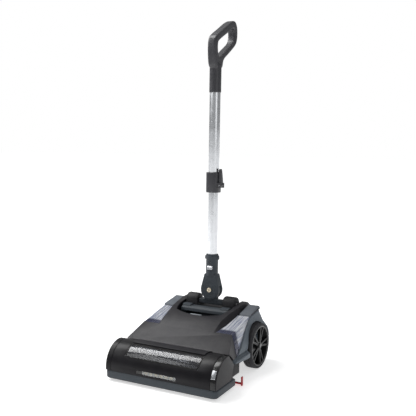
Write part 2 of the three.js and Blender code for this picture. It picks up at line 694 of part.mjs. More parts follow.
function yoke() {
  const reach = cradle.lugIn - 2 * gap;
  const thick = joint.slot / 2 - gap;
  const beam = [[-bar.half, -bar.halfHeight + 3], [-bar.half, bar.halfHeight],
    [bar.half, bar.halfHeight], [bar.half, -bar.halfHeight + 3],
    [bar.half - 4, -bar.halfHeight], [4 - bar.half, -bar.halfHeight]]
    .map(([y, z]) => [y + bar.across, z - bar.down]);
  const shape = join(
    sideSlab(beam, -reach, reach),
    rodY(joint.fork - 3, -thick, thick, 0, 0, 40),
    box(-22, 22, -thick, thick, -bar.down + 4, 0));
  const holes = [-1, 1].map((side) => rodX(pin.radius + gap, side * (reach - pin.depth - 1),
    side * (reach + 2), bar.across, -bar.down, 20));
  return cut(shape, ...holes, rodY(joint.bolt + gap, -20, 20, 0, 0, 16));
}

function neckFork() {
  const bore = lowerTube.radius + gap;
  const outer = bore + socket.wall;
  const depth = joint.cheek + joint.slot / 2;
  const paddle = [...arc(0, 0, joint.fork, 75, 285, 16),
    [outer, socket.low + 2], [-outer, socket.low + 2]];
  const swing = joint.fork - 1.5;
  const knobs = [-1, 1].map((side) => box(side * (outer - 2), side * (outer + 4), -5, 5, 100, 111));
  return cut(
    join(frontSlab(paddle, -depth, depth, 1.5),
      rodZ(outer, socket.low - 4, socket.high),
      rodZ(outer + 2, socket.high - 14, socket.high - 5), ...knobs),
    rodY(swing, -joint.slot / 2, joint.slot / 2, 0, 0, 40),
    box(-60, 60, -joint.slot / 2, joint.slot / 2, -60, 14),
    rodZ(bore, socket.low + 6, socket.high + 2),
    box(-7, 10, -outer - 3, -bore + 3, 66, 80),
    rodY(2.6, -outer - 3, 0, 0, 92, 16),
    rodY(joint.bolt + gap, -40, 40, 0, 0, 16));
}

function pivotBolt() {
  const face = joint.cheek + joint.slot / 2;
  return join(rodY(7.5, -face - 4, -face - gap, 0, 0, 20),
    rodY(joint.bolt, -face - 1, face + 6, 0, 0, 16));
}

function pivotNut() {
  const face = joint.cheek + joint.slot / 2;
  return cut(rodY(8, face + gap, face + 6, 0, 0, 6), rodY(joint.bolt + gap, 0, face + 9, 0, 0, 16));
}

function springClip() {
  const outer = lowerTube.radius + gap + socket.wall;
  const inner = lowerTube.radius + 1.5;
  return box(-7 + gap, 10 - gap, -outer - 1.8, -inner, 66 + gap, 80 - gap);
}

function collarBody() {
  const shell = planSlab(roundedRectangle(collar.halfX, collar.halfY, collar.corner),
    collar.low, collar.high, 1.5);
  const ears = [-1, 1].map((side) => box(collar.halfX - 2, clamp.x + clamp.radius,
    side * (clamp.half + gap), side * (clamp.half + gap + 4), clamp.z - 8, clamp.z + 8));
  return cut(join(shell, ...ears),
    rodZ(upperRadius + gap, upperTube.bottom - gap, collar.high + 5),
    rodZ(lowerTube.radius + gap, collar.low - 5, collar.high),
    rodY(clamp.pin + gap, -30, 30, clamp.x, clamp.z, 16),
    rodY(clamp.radius + 1, -clamp.half - gap, clamp.half + gap, clamp.x, clamp.z, 24));
}

function clampLever() {
  const out = clamp.x + 1;
  const blade = [[collar.halfX + 1, clamp.z], [out + 3, clamp.z], [out + 2, clamp.z + 20],
    [out - 1, clamp.top - 6], [out - 3, clamp.top], [collar.halfX + 0.6, clamp.top - 4],
    [collar.halfX + 1, clamp.z + 30]];
  return cut(
    join(frontSlab(blade, -clamp.half, clamp.half, 0.8),
      rodY(clamp.radius, -clamp.half, clamp.half, clamp.x, clamp.z, 24)),
    rodY(clamp.pin + gap, -30, 30, clamp.x, clamp.z, 16));
}

function clampPin() {
  const reach = clamp.half + gap + 4;
  return rodY(clamp.pin, -reach, reach, clamp.x, clamp.z, 16);
}

function smooth(points, count) {
  const curve = new THREE.CatmullRomCurve3(points.map(([u, v]) => new THREE.Vector3(u, v, 0)), true);
  return curve.getPoints(count).slice(0, -1).map(({ x, y }) => [x, y + gripBase]);
}

function handleGrip() {
  const outer = smooth([[-20, 80], [-30, 112], [-31, 158], [-24, 176], [28, 208], [94, 243],
    [112, 244], [126, 228], [129, 202], [124, 177], [112, 163], [64, 130], [30, 106], [20, 80]], 36);
  const hole = smooth([[58, 198], [94, 217], [105, 217], [110, 206], [109, 186], [101, 173],
    [60, 147], [22, 123], [4, 114], [-5, 118], [-9, 130], [-11, 145], [-8, 160], [4, 169]], 32);
  const loop = sideSlab(outer, -grip.depth / 2, grip.depth / 2, grip.round, [hole.reverse()]);
  return cut(join(loop, rodZ(grip.sleeveRadius, gripBase, gripBase + grip.sleeve)),
    rodZ(upperRadius + gap, gripBase - 5, gripBase + grip.bore + gap));
}

function releaseLever() {
  const [y0, y1] = [trayFront + lever.setBack, leverBack];
  const tip = half + 10;
  const root = barrelEnd - lever.root;
  return join(
    box(root, tip, y0, y1, lever.low, lever.low + lever.thick),
    box(tip - lever.thick, tip, y0, y1, lever.foot, lever.top),
    box(root, root + 20, y0, y1, lever.low, tray.low - gap));
}

// ---- assembly ----
const sweeper = new THREE.Group();
addPiece(sweeper, 'base_tray', baseTray(), 'matteBlack');
addPiece(sweeper, 'belly_plate', bellyPlate(), 'matteBlack');
addPiece(sweeper, 'bumper', bumperStrip(), 'slate');
addPiece(sweeper, 'brush_housing', brushHousing(), 'shell');
addPiece(sweeper, 'belt_cover', beltCover(), 'shell');
addPiece(sweeper, 'end_band', endBand(), 'black');
addPiece(sweeper, 'end_plate',
  sideSlab(endOutline(barrel.radius + endCap.plateRise), endFace - endCap.plate, endFace, 1), 'shell');
addPiece(sweeper, 'end_marker', endMarker(), 'steel');
addPiece(sweeper, 'brush_window', ringSector(barrel.radius - barrel.wall, barrel.radius - 0.6,
  windowCut.from + 0.4, windowCut.to - 0.4, -windowCut.half + gap, windowCut.half - gap), 'clear');
addPiece(sweeper, 'led_lens', ledLens(), 'lens');
addPiece(sweeper, 'led_board', ledBoard(), 'board');
addPiece(sweeper, 'rear_wiper', rearWiper(), 'matteBlack');
addPiece(sweeper, 'rear_housing', rearHousing(), 'slate');
addPiece(sweeper, 'power_button', powerButton(), 'tab');
addPiece(sweeper, 'battery_pack', planSlab(
  [[-56, 92], [56, 92], [56, 144], [-56, 144]], tray.high + 4, deck - 44, 3), 'slate');
addPiece(sweeper, 'control_board', box(-62, 62, 50, 86, deck - 42, deck - 40.4), 'board');
addPiece(sweeper, 'brush_core', brushCore(), 'matteBlack');
addPiece(sweeper, 'brush_bristles', bristles(), 'bristle');
addPiece(sweeper, 'brush_pulley', brushPulley(), 'black');
addPiece(sweeper, 'brush_bush_left', brushBush(true), 'tab');
addPiece(sweeper, 'brush_bush_right', brushBush(false), 'tab');
addPiece(sweeper, 'drive_motor', driveMotor(), 'steel');
addPiece(sweeper, 'motor_pulley', motorPulley(), 'brass');
addPiece(sweeper, 'drive_belt', driveBelt(), 'matteBlack');
addPiece(sweeper, 'release_lever', releaseLever(), 'red');
for (const side of [-1, 1]) {
  const name = side > 0 ? 'right' : 'left';
  addPiece(sweeper, `fender_${name}`, fender(side), 'fender');
  addPiece(sweeper, `shoulder_cap_${name}`, shoulderCap(side), 'block');
  addPiece(sweeper, `pitch_pin_${name}`, pitchPin(side), 'steel');
  addWheel(sweeper, side);
  addCastor(sweeper, side);
}
addPiece(sweeper, 'top_cover', topCover(), 'cover');
addPiece(sweeper, 'dust_bin', dustBin(), 'clear');
addPiece(sweeper, 'bin_lid', binLid(), 'matteBlack');
addPiece(sweeper, 'grip_bar', gripBar(), 'slate');
addPiece(sweeper, 'bin_latch', binLatch(), 'tab');
addPiece(sweeper, 'cradle', cradleBlock(), 'matteBlack');

const upright = new THREE.Group();
upright.position.set(0, joint.y, jointZ);
upright.rotation.x = -lean;
addPiece(upright, 'yoke', yoke(), 'slate');
addPiece(upright, 'neck_fork', neckFork(), 'slate');
addPiece(upright, 'pivot_bolt', pivotBolt(), 'brass');
addPiece(upright, 'pivot_nut', pivotNut(), 'steel');
addPiece(upright, 'spring_clip', springClip(), 'steel');
addPiece(upright, 'lower_tube',
  pipeZ(lowerTube.radius, lowerTube.wall, socket.low + 6 + gap, lowerTube.top), 'satin');
addPiece(upright, 'upper_tube',
  pipeZ(upperRadius, upperTube.wall, upperTube.bottom, gripBase + grip.bore), 'satin');
addPiece(upright, 'height_collar', collarBody(), 'grip');
addPiece(upright, 'clamp_lever', clampLever(), 'grip');
addPiece(upright, 'clamp_pin', clampPin(), 'steel');
addPiece(upright, 'handle_grip', handleGrip(), 'grip');
sweeper.add(upright);

export default sweeper;
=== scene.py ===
import json
import math
import random

import bpy
from mathutils import Matrix, Vector


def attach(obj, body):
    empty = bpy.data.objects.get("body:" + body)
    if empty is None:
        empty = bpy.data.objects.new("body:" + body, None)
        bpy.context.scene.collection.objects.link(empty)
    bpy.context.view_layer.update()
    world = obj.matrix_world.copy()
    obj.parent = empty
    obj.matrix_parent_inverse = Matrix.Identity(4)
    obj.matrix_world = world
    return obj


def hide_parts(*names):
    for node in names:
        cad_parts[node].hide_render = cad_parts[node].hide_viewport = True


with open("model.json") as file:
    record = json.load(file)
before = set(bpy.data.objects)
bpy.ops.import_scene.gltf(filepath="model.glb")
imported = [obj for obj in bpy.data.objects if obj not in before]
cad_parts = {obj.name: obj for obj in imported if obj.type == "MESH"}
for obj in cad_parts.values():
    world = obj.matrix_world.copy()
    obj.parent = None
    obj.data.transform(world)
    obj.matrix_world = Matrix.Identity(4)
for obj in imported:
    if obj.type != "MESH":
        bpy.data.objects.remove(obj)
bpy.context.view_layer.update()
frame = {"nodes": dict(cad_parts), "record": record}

nodes = frame["nodes"]
bpy.context.scene.view_settings.view_transform = "Standard"
print("frame loaded:", len(nodes), "nodes")

# camera: long lens at waist height, to the right of the front
shot = {"place": (1.0214, -1.8545, 0.7545), "aim": (-0.0051, 0.068, 0.5023), "lens": 58.73}


def addCamera():
    data = bpy.data.cameras.new("camera")
    data.lens = shot["lens"]
    data.sensor_width = 36
    cam = bpy.data.objects.new("camera", data)
    bpy.context.collection.objects.link(cam)
    cam.location = shot["place"]
    cam.rotation_mode = "QUATERNION"
    look = Vector(shot["aim"]) - Vector(shot["place"])
    cam.rotation_quaternion = look.to_track_quat("-Z", "Y")
    bpy.context.scene.camera = cam


addCamera()

# studio: white sweep that glows more away from the object, plain white behind, softer light around
studio = {"seen": 1.0, "around": 0.30, "shaded": 0.24, "shadeFrom": 0.45, "shadeTo": 0.80, "floor": 0.9,
          "glow": 0.56, "farGlow": 0.8, "glowFrom": 0.8, "glowTo": 4.0}
softLights = {
    "keyLight": {"place": (-1.9, -1.7, 2.3), "aim": (0, 0, 0.2), "size": (1.6, 1.6), "power": 15},
    "stripLight": {"place": (-1.3, -0.06, 2.1), "aim": (0, -0.1, 0.1), "size": (1.0, 1.9), "power": 40},
    "fillLight": {"place": (2.4, -1.2, 1.5), "aim": (0, 0, 0.3), "size": (1.4, 1.8), "power": 8},
    "topLight": {"place": (0, 0.3, 2.8), "aim": (0, 0, 0), "size": (2.2, 2.2), "power": 9},
}


def addNode(tree, kind, links=(), **settings):
    node = tree.nodes.new(kind)
    for key, value in settings.items():
        setattr(node, key, value)
    for key, value in dict(links).items():
        if isinstance(value, bpy.types.NodeSocket):
            tree.links.new(value, node.inputs[key])
        else:
            node.inputs[key].default_value = value
    return node


def addSoftLight(name, place, aim, size, power):
    data = bpy.data.lights.new(name, "AREA")
    data.shape = "RECTANGLE"
    data.size, data.size_y = size
    data.energy = power
    lamp = bpy.data.objects.new(name, data)
    bpy.context.collection.objects.link(lamp)
    lamp.location = place
    look = Vector(aim) - Vector(place)
    lamp.rotation_mode = "QUATERNION"
    lamp.rotation_quaternion = look.to_track_quat("-Z", "Y")


def addWorld():
    world = bpy.data.worlds.new("studio")
    bpy.context.scene.world = world
    world.use_nodes = True
    tree = world.node_tree
    around = tree.nodes["Background"]
    around.inputs["Color"].default_value = (0.98, 0.99, 1, 1)
    seen = addNode(tree, "ShaderNodeBackground", {"Color": (1, 1, 1, 1), "Strength": studio["seen"]})
    direction = addNode(tree, "ShaderNodeTexCoord").outputs["Generated"]
    sideways = addNode(tree, "ShaderNodeSeparateXYZ", {"Vector": direction}).outputs["X"]
    shade = addNode(tree, "ShaderNodeMapRange", {"Value": sideways, "From Min": studio["shadeFrom"],
                                                 "From Max": studio["shadeTo"], "To Min": studio["around"],
                                                 "To Max": studio["shaded"]})
    tree.links.new(shade.outputs["Result"], around.inputs["Strength"])
    rays = addNode(tree, "ShaderNodeLightPath")
    choose = addNode(tree, "ShaderNodeMixShader", {0: rays.outputs["Is Camera Ray"], 1: around.outputs[0],
                                                   2: seen.outputs[0]})
    tree.links.new(choose.outputs[0], tree.nodes["World Output"].inputs["Surface"])


def addFloor():
    bpy.ops.mesh.primitive_plane_add(size=30, location=(0, 0, 0))
    floor = bpy.context.object
    floor.name = "studioFloor"
    mat = bpy.data.materials.new("floorWhite")
    mat.use_nodes = True
    tree = mat.node_tree
    shader = tree.nodes["Principled BSDF"]
    shader.inputs["Base Color"].default_value = (studio["floor"],) * 3 + (1,)
    shader.inputs["Roughness"].default_value = 0.7
    shader.inputs["Emission Color"].default_value = (1, 1, 1, 1)
    where = addNode(tree, "ShaderNodeTexCoord").outputs["Object"]
    away = addNode(tree, "ShaderNodeVectorMath", {0: where}, operation="LENGTH")
    fade = addNode(tree, "ShaderNodeMapRange", {"Value": away.outputs["Value"],
                                                "From Min": studio["glowFrom"],
                                                "From Max": studio["glowTo"], "To Min": studio["glow"],
                                                "To Max": studio["farGlow"]})
    tree.links.new(fade.outputs["Result"], shader.inputs["Emission Strength"])
    floor.data.materials.append(mat)


addWorld()
for name, light in softLights.items():
    addSoftLight(name, **light)
addFloor()
print("camera and studio ready")


# shared surface effects, each a node group that every finish uses
def newGroup(name, given, made):
    group = bpy.data.node_groups.new(name, "ShaderNodeTree")
    for label, value in given.items():
        socket = group.interface.new_socket(name=label, in_out="INPUT", socket_type="NodeSocketFloat")
        socket.default_value = value
    for label in made:
        group.interface.new_socket(name=label, in_out="OUTPUT", socket_type="NodeSocketFloat")
    source = group.nodes.new("NodeGroupInput")
    result = group.nodes.new("NodeGroupOutput")
    return group, source, result


def maths(tree, operation, first, second, clamp=False):
    node = addNode(tree, "ShaderNodeMath", {0: first, 1: second}, operation=operation, use_clamp=clamp)
    return node.outputs[0]


def buildMouldGrain():
    group, source, result = newGroup("mouldGrain", {"Scale": 900.0}, ("Height", "Mottle"))
    where = addNode(group, "ShaderNodeTexCoord").outputs["Object"]
    fine = addNode(group, "ShaderNodeTexVoronoi", {"Vector": where, "Scale": source.outputs["Scale"]})
    slow = addNode(group, "ShaderNodeTexNoise", {"Vector": where, "Scale": 38.0, "Detail": 4.0})
    soft = addNode(group, "ShaderNodeTexNoise", {"Vector": where, "Scale": source.outputs["Scale"],
                                                 "Detail": 2.0})
    both = maths(group, "ADD", fine.outputs["Distance"], soft.outputs["Fac"])
    group.links.new(both, result.inputs["Height"])
    group.links.new(slow.outputs["Fac"], result.inputs["Mottle"])
    return group


def buildEdgeWear():
    group, source, result = newGroup("edgeWear", {"Amount": 0.3}, ("Mask",))
    rounded = addNode(group, "ShaderNodeBevel", {"Radius": 0.0011}, samples=4)
    plain = addNode(group, "ShaderNodeNewGeometry")
    bend = addNode(group, "ShaderNodeVectorMath", {0: rounded.outputs["Normal"], 1: plain.outputs["Normal"]},
                   operation="DOT_PRODUCT")
    sharp = addNode(group, "ShaderNodeMapRange", {"Value": bend.outputs["Value"], "From Min": 0.975,
                                                  "From Max": 0.86, "To Min": 0.0, "To Max": 1.0})
    where = addNode(group, "ShaderNodeTexCoord").outputs["Object"]
    patches = addNode(group, "ShaderNodeTexNoise", {"Vector": where, "Scale": 70.0, "Detail": 5.0})
    broken = addNode(group, "ShaderNodeMapRange", {"Value": patches.outputs["Fac"], "From Min": 0.35,
                                                   "From Max": 0.65, "To Min": 0.35, "To Max": 1.0})
    rubbed = maths(group, "MULTIPLY", sharp.outputs["Result"], broken.outputs["Result"])
    group.links.new(maths(group, "MULTIPLY", rubbed, source.outputs["Amount"]), result.inputs["Mask"])
    return group


def buildDustAndScuffs():
    group, source, result = newGroup("dustAndScuffs", {"Dust": 0.1, "Scuffs": 0.1}, ("DustMask", "ScuffMask"))
    where = addNode(group, "ShaderNodeTexCoord").outputs["Object"]
    facing = addNode(group, "ShaderNodeSeparateXYZ",
                     {"Vector": addNode(group, "ShaderNodeNewGeometry").outputs["Normal"]})
    settled = addNode(group, "ShaderNodeMapRange", {"Value": facing.outputs["Z"], "From Min": 0.3,
                                                    "From Max": 1.0, "To Min": 0.15, "To Max": 1.0})
    specks = addNode(group, "ShaderNodeTexNoise", {"Vector": where, "Scale": 22.0, "Detail": 8.0,
                                                   "Roughness": 0.7})
    film = addNode(group, "ShaderNodeMapRange", {"Value": specks.outputs["Fac"], "From Min": 0.42,
                                                 "From Max": 0.75, "To Min": 0.0, "To Max": 1.0})
    lying = maths(group, "MULTIPLY", settled.outputs["Result"], film.outputs["Result"])
    group.links.new(maths(group, "MULTIPLY", lying, source.outputs["Dust"]), result.inputs["DustMask"])
    drawn = addNode(group, "ShaderNodeMapping", {"Vector": where, "Rotation": (0.3, 0.2, 0.6),
                                                 "Scale": (30.0, 900.0, 420.0)})
    lines = addNode(group, "ShaderNodeTexNoise", {"Vector": drawn.outputs["Vector"], "Scale": 1.0,
                                                  "Detail": 3.0})
    few = addNode(group, "ShaderNodeMapRange", {"Value": lines.outputs["Fac"], "From Min": 0.62,
                                                "From Max": 0.72, "To Min": 0.0, "To Max": 1.0})
    group.links.new(maths(group, "MULTIPLY", few.outputs["Result"], source.outputs["Scuffs"]),
                    result.inputs["ScuffMask"])
    return group


mouldGrain = buildMouldGrain()
edgeWear = buildEdgeWear()
dustAndScuffs = buildDustAndScuffs()


def tone(red, green, blue):
    def straight(level):
        level /= 255
        return level / 12.92 if level <= 0.04045 else ((level + 0.055) / 1.055) ** 2.4
    return (straight(red), straight(green), straight(blue), 1.0)


def tinted(colour, gain, lift):
    return tuple(min(1, level * gain + lift) for level in colour[:3]) + (1.0,)


def objectPlace(tree):
    return addNode(tree, "ShaderNodeTexCoord").outputs["Object"]


def groupNode(tree, group, **values):
    node = tree.nodes.new("ShaderNodeGroup")
    node.node_tree = group
    for key, value in values.items():
        node.inputs[key].default_value = value
    return node


def mixed(tree, mask, first, second):
    node = addNode(tree, "ShaderNodeMix", data_type="RGBA")
    for socket, value in (("Factor_Float", mask), ("A_Color", first), ("B_Color", second)):
        target = next(s for s in node.inputs if s.identifier == socket)
        if isinstance(value, bpy.types.NodeSocket):
            tree.links.new(value, target)
        else:
            target.default_value = value
    return next(s for s in node.outputs if s.identifier == "Result_Color")


# colour, roughness, grain pitch and depth, edge wear, dust and scuffs of each finish; mirror sets its gloss
mouldings = {
    "coverCharcoal": {"colour": (29, 28, 33), "rough": 0.44, "grain": 1500, "depth": 0.10,
                      "wear": 0.20, "dust": 0.05, "scuffs": 0.10},
    "barrelCharcoal": {"colour": (17, 16, 20), "rough": 0.34, "mirror": 0.20, "grain": 1500, "depth": 0.05,
                       "wear": 0.22, "dust": 0.04, "scuffs": 0.14},
    "darkSlate": {"colour": (54, 60, 66), "rough": 0.50, "grain": 1100, "depth": 0.16,
                  "wear": 0.30, "dust": 0.08, "scuffs": 0.12},
    "fenderSlate": {"colour": (90, 98, 106), "rough": 0.50, "grain": 1000, "depth": 0.16,
                    "wear": 0.25, "dust": 0.08, "scuffs": 0.15},
    "blockGrey": {"colour": (98, 103, 110), "rough": 0.62, "grain": 520, "depth": 0.55,
                  "wear": 0.30, "dust": 0.10, "scuffs": 0.10},
    "glossBlack": {"colour": (9, 9, 11), "rough": 0.26, "grain": 400, "depth": 0.01,
                   "wear": 0.03, "dust": 0.04, "scuffs": 0.10},
    "spokeBlack": {"colour": (16, 16, 18), "rough": 0.46, "grain": 900, "depth": 0.06,
                   "wear": 0.02, "dust": 0.02, "scuffs": 0.04},
    "mattBlack": {"colour": (32, 32, 35), "rough": 0.55, "grain": 700, "depth": 0.30,
                  "wear": 0.22, "dust": 0.08, "scuffs": 0.15},
    "gripCharcoal": {"colour": (50, 50, 54), "rough": 0.34, "mirror": 0.45, "grain": 1000, "depth": 0.22,
                     "wear": 0.15, "dust": 0.05, "scuffs": 0.08},
    "leverRed": {"colour": (165, 25, 35), "rough": 0.32, "grain": 1200, "depth": 0.04,
                 "wear": 0.15, "dust": 0.04, "scuffs": 0.12},
    "tabGrey": {"colour": (140, 146, 151), "rough": 0.45, "grain": 1100, "depth": 0.12,
                "wear": 0.15, "dust": 0.06, "scuffs": 0.08},
    "tyreRubber": {"colour": (44, 44, 47), "rough": 0.72, "grain": 900, "depth": 0.35,
                   "wear": 0.10, "dust": 0.06, "scuffs": 0.12},
    "softRubber": {"colour": (20, 20, 21), "rough": 0.80, "grain": 800, "depth": 0.30,
                   "wear": 0.08, "dust": 0.12, "scuffs": 0.12},
    "nylonBristle": {"colour": (44, 44, 52), "rough": 0.55, "grain": 1600, "depth": 0.40,
                     "wear": 0.05, "dust": 0.10, "scuffs": 0.0},
    "boardGreen": {"colour": (31, 74, 51), "rough": 0.35, "grain": 300, "depth": 0.05,
                   "wear": 0.10, "dust": 0.05, "scuffs": 0.05},
    "chipYellow": {"colour": (216, 198, 120), "rough": 0.30, "grain": 2500, "depth": 0.05,
                   "wear": 0.05, "dust": 0.0, "scuffs": 0.0},
    "satinTube": {"colour": (210, 212, 215), "rough": 0.28, "grain": 1800, "depth": 0.04,
                  "wear": 0.05, "dust": 0.02, "scuffs": 0.12, "metal": 1.0},
    "platedSteel": {"colour": (190, 192, 196), "rough": 0.24, "grain": 1500, "depth": 0.05,
                    "wear": 0.10, "dust": 0.03, "scuffs": 0.15, "metal": 1.0},
    "paleBrass": {"colour": (222, 210, 186), "rough": 0.34, "grain": 1500, "depth": 0.05,
                  "wear": 0.10, "dust": 0.03, "scuffs": 0.10, "metal": 0.6},
}
coated = {"glossBlack": 0.3}       # clear coat weights
bumperLowBand = {"top": 0.0105, "colour": (12, 12, 13)}         # lower edge of the bumper: darkSlate parts are painted near-black below this height


def buildMoulding(name):
    look = mouldings[name]
    mat = bpy.data.materials.new(name)
    mat.use_nodes = True
    tree = mat.node_tree
    shader = tree.nodes["Principled BSDF"]
    grain = groupNode(tree, mouldGrain, Scale=look["grain"])
    worn = groupNode(tree, edgeWear, Amount=look["wear"])
    used = groupNode(tree, dustAndScuffs, Dust=look["dust"], Scuffs=look["scuffs"])
    colour = tone(*look["colour"])
    light = tinted(colour, 1.30, 0.002)
    deep = tinted(colour, 0.82, 0)
    bare = tinted(colour, 1.8, 0.03)
    base = mixed(tree, grain.outputs["Mottle"], deep, light)
    base = mixed(tree, worn.outputs["Mask"], base, bare)
    base = mixed(tree, used.outputs["ScuffMask"], base, bare)
    base = mixed(tree, used.outputs["DustMask"], base, tone(176, 172, 164))
    # darkSlate parts are painted near-black below the band's top height, so the bumper is darker at its very
    # bottom
    if name == "darkSlate":
        where = addNode(tree, "ShaderNodeSeparateXYZ", {"Vector": objectPlace(tree)})
        low = maths(tree, "LESS_THAN", where.outputs["Z"], bumperLowBand["top"])
        base = mixed(tree, low, base, tone(*bumperLowBand["colour"]))
    tree.links.new(base, shader.inputs["Base Color"])
    varied = maths(tree, "MULTIPLY_ADD", grain.outputs["Mottle"], 0.16)
    varied.node.inputs[2].default_value = look["rough"] - 0.08
    dulled = maths(tree, "ADD", varied, used.outputs["DustMask"])
    tree.links.new(maths(tree, "ADD", dulled, used.outputs["ScuffMask"], True), shader.inputs["Roughness"])
    shader.inputs["Metallic"].default_value = look.get("metal", 0.0)
    shader.inputs["Specular IOR Level"].default_value = look.get("mirror", 0.5 if "metal" in look else 0.28)
    shader.inputs["Coat Weight"].default_value = coated.get(name, 0.0)
    shader.inputs["Coat Roughness"].default_value = 0.08
    rounded = addNode(tree, "ShaderNodeBevel", {"Radius": 0.0008}, samples=4)
    bump = addNode(tree, "ShaderNodeBump", {"Height": grain.outputs["Height"], "Strength": look["depth"],
                                            "Distance": 0.0004, "Normal": rounded.outputs["Normal"]})
    tree.links.new(bump.outputs["Normal"], shader.inputs["Normal"])
    return mat


# clear mouldings: bin, window and lamp lens
# edges and masks start at the named places along the part, in metres
glazing = {
    "binClear": {"colour": (236, 239, 246), "rough": 0.10, "pass": 0.30, "edge": (30, 34, 70),
                 "deep": (150, 158, 182), "ripple": 0.05, "stretch": (260.0, 5.0, 60.0),
                 "edgeStart": -0.054, "edgeFull": -0.062},
    "windowClear": {"colour": (150, 152, 158), "rough": 0.07, "pass": 0.92, "ripple": 0.002},
    "lensClear": {"colour": (206, 207, 206), "rough": 0.12, "pass": 0.75, "edge": (26, 26, 28),
                  "maskEnd": -0.057, "ripple": 0.03},
}


def buildGlazing(name):
    look = glazing[name]
    mat = bpy.data.materials.new(name)
    mat.use_nodes = True
    tree = mat.node_tree
    shader = tree.nodes["Principled BSDF"]
    grain = groupNode(tree, mouldGrain, Scale=160)
    worn = groupNode(tree, edgeWear, Amount=0.5)
    used = groupNode(tree, dustAndScuffs, Dust=0.10, Scuffs=0.25)
    colour = tone(*look["colour"])
    pale = tinted(colour, 1.25, 0)
    base = mixed(tree, grain.outputs["Mottle"], colour, pale)
    base = mixed(tree, worn.outputs["Mask"], base, (1, 1, 1, 1))
    base = mixed(tree, used.outputs["DustMask"], base, tone(150, 148, 140))
    where = addNode(tree, "ShaderNodeSeparateXYZ", {"Vector": objectPlace(tree)})
    if name == "lensClear":                # lamp end of the lens is masked dark
        masked = maths(tree, "LESS_THAN", where.outputs["X"], look["maskEnd"])
        base = mixed(tree, masked, base, tone(*look["edge"]))
    if name == "binClear":                 # streaks along the wings, dark blue front edge
        drawn = addNode(tree, "ShaderNodeMapping", {"Vector": objectPlace(tree), "Scale": look["stretch"]})
        flow = addNode(tree, "ShaderNodeTexNoise", {"Vector": drawn.outputs["Vector"], "Scale": 1.0,
                                                    "Detail": 3.0})
        streak = addNode(tree, "ShaderNodeMapRange", {"Value": flow.outputs["Fac"], "From Min": 0.38,
                                                      "From Max": 0.62, "To Min": 0.0, "To Max": 1.0})
        base = mixed(tree, streak.outputs["Result"], tone(*look["deep"]), base)
        front = addNode(tree, "ShaderNodeMapRange", {"Value": where.outputs["Y"],
                                                     "From Min": look["edgeStart"],
                                                     "From Max": look["edgeFull"], "To Min": 0.0,
                                                     "To Max": 0.9})
        base = mixed(tree, front.outputs["Result"], base, tone(*look["edge"]))
    tree.links.new(base, shader.inputs["Base Color"])
    varied = maths(tree, "MULTIPLY_ADD", grain.outputs["Mottle"], 0.12)
    varied.node.inputs[2].default_value = look["rough"] - 0.04
    tree.links.new(maths(tree, "ADD", varied, used.outputs["ScuffMask"], True), shader.inputs["Roughness"])
    shader.inputs["Transmission Weight"].default_value = look["pass"]
    shader.inputs["IOR"].default_value = 1.5
    bump = addNode(tree, "ShaderNodeBump", {"Height": grain.outputs["Height"],
                                            "Strength": look["ripple"], "Distance": 0.0004})
    tree.links.new(bump.outputs["Normal"], shader.inputs["Normal"])
    return mat


finishes = {name: buildMoulding(name) for name in mouldings}
finishes.update({name: buildGlazing(name) for name in glazing})
print("finishes ready:", len(finishes))

# which finish each slot of the record gets, and the edge rounding of each node in millimetres
slotFinish = {
    "cover_plastic": "coverCharcoal", "shell_plastic": "barrelCharcoal", "slate_plastic": "darkSlate",
    "fender_plastic": "fenderSlate", "block_plastic": "blockGrey", "gloss_black": "glossBlack",
    "matte_black": "mattBlack", "clear_plastic": "binClear", "lens_plastic": "lensClear",
    "tube_metal": "satinTube", "steel": "platedSteel", "brass": "paleBrass",
    "grip_plastic": "gripCharcoal", "lever_red": "leverRed", "bristle": "nylonBristle",
    "tab_grey": "tabGrey", "rubber": "softRubber", "tyre": "tyreRubber", "board": "boardGreen",
}
ownFinish = {"brush_window": "windowClear", "rim_left": "spokeBlack", "rim_right": "spokeBlack"}
rounding = {"top_cover": 1.2, "grip_bar": 1.2, "cradle": 1.5, "yoke": 1.0, "neck_fork": 1.0,
            "height_collar": 0.8, "clamp_lever": 0.8, "release_lever": 0.8, "end_plate": 0.8,
            "shoulder_cap_left": 1.5, "shoulder_cap_right": 1.5, "fender_left": 1.2, "fender_right": 1.2}
usualRounding = 0.5


def finishNode(part, name, slotName):
    mesh = part.data
    mesh.materials.clear()
    mesh.materials.append(finishes[ownFinish.get(name, slotFinish[slotName])])
    mesh.shade_smooth()
    weld = part.modifiers.new("weld", "WELD")
    weld.merge_threshold = 0.00001
    soft = part.modifiers.new("roundEdges", "BEVEL")
    soft.width = rounding.get(name, usualRounding) / 1000
    soft.segments = 3
    soft.limit_method = "ANGLE"
    soft.angle_limit = math.radians(38)
    split = part.modifiers.new("crisp", "EDGE_SPLIT")
    split.split_angle = math.radians(36)


slots = {piece["node"]: piece["material_slot"] for piece in frame["record"]["subparts"]}
for name, slotName in slots.items():
    finishNode(nodes[name], name, slotName)
print("carried-over nodes finished:", len(slots))

# frame of the leaning handle, with its origin in the roll joint
handleLean = math.radians(2.1)
rollJoint = (0, 0.084, 0.232)
uprightFrame = Matrix.Translation(rollJoint) @ Matrix.Rotation(-handleLean, 4, "X")


# modelling helpers
def clearSelection():
    if bpy.context.mode != "OBJECT":
        bpy.ops.object.mode_set(mode="OBJECT")
    bpy.ops.object.select_all(action="DESELECT")


def openPiece(piece, mode):
    clearSelection()
    piece.select_set(True)
    bpy.context.view_layer.objects.active = piece
    bpy.ops.object.mode_set(mode="EDIT")
    bpy.ops.mesh.select_mode(type=mode)
    bpy.ops.mesh.select_all(action="DESELECT")


def pickFaces(piece, wanted):
    openPiece(piece, "FACE")
    bpy.ops.object.mode_set(mode="OBJECT")
    for face in piece.data.polygons:
        face.select = wanted(face)
    bpy.ops.object.mode_set(mode="EDIT")


def applyPlace(piece):
    clearSelection()
    piece.select_set(True)
    bpy.context.view_layer.objects.active = piece
    bpy.ops.object.transform_apply(location=True, rotation=True, scale=True)


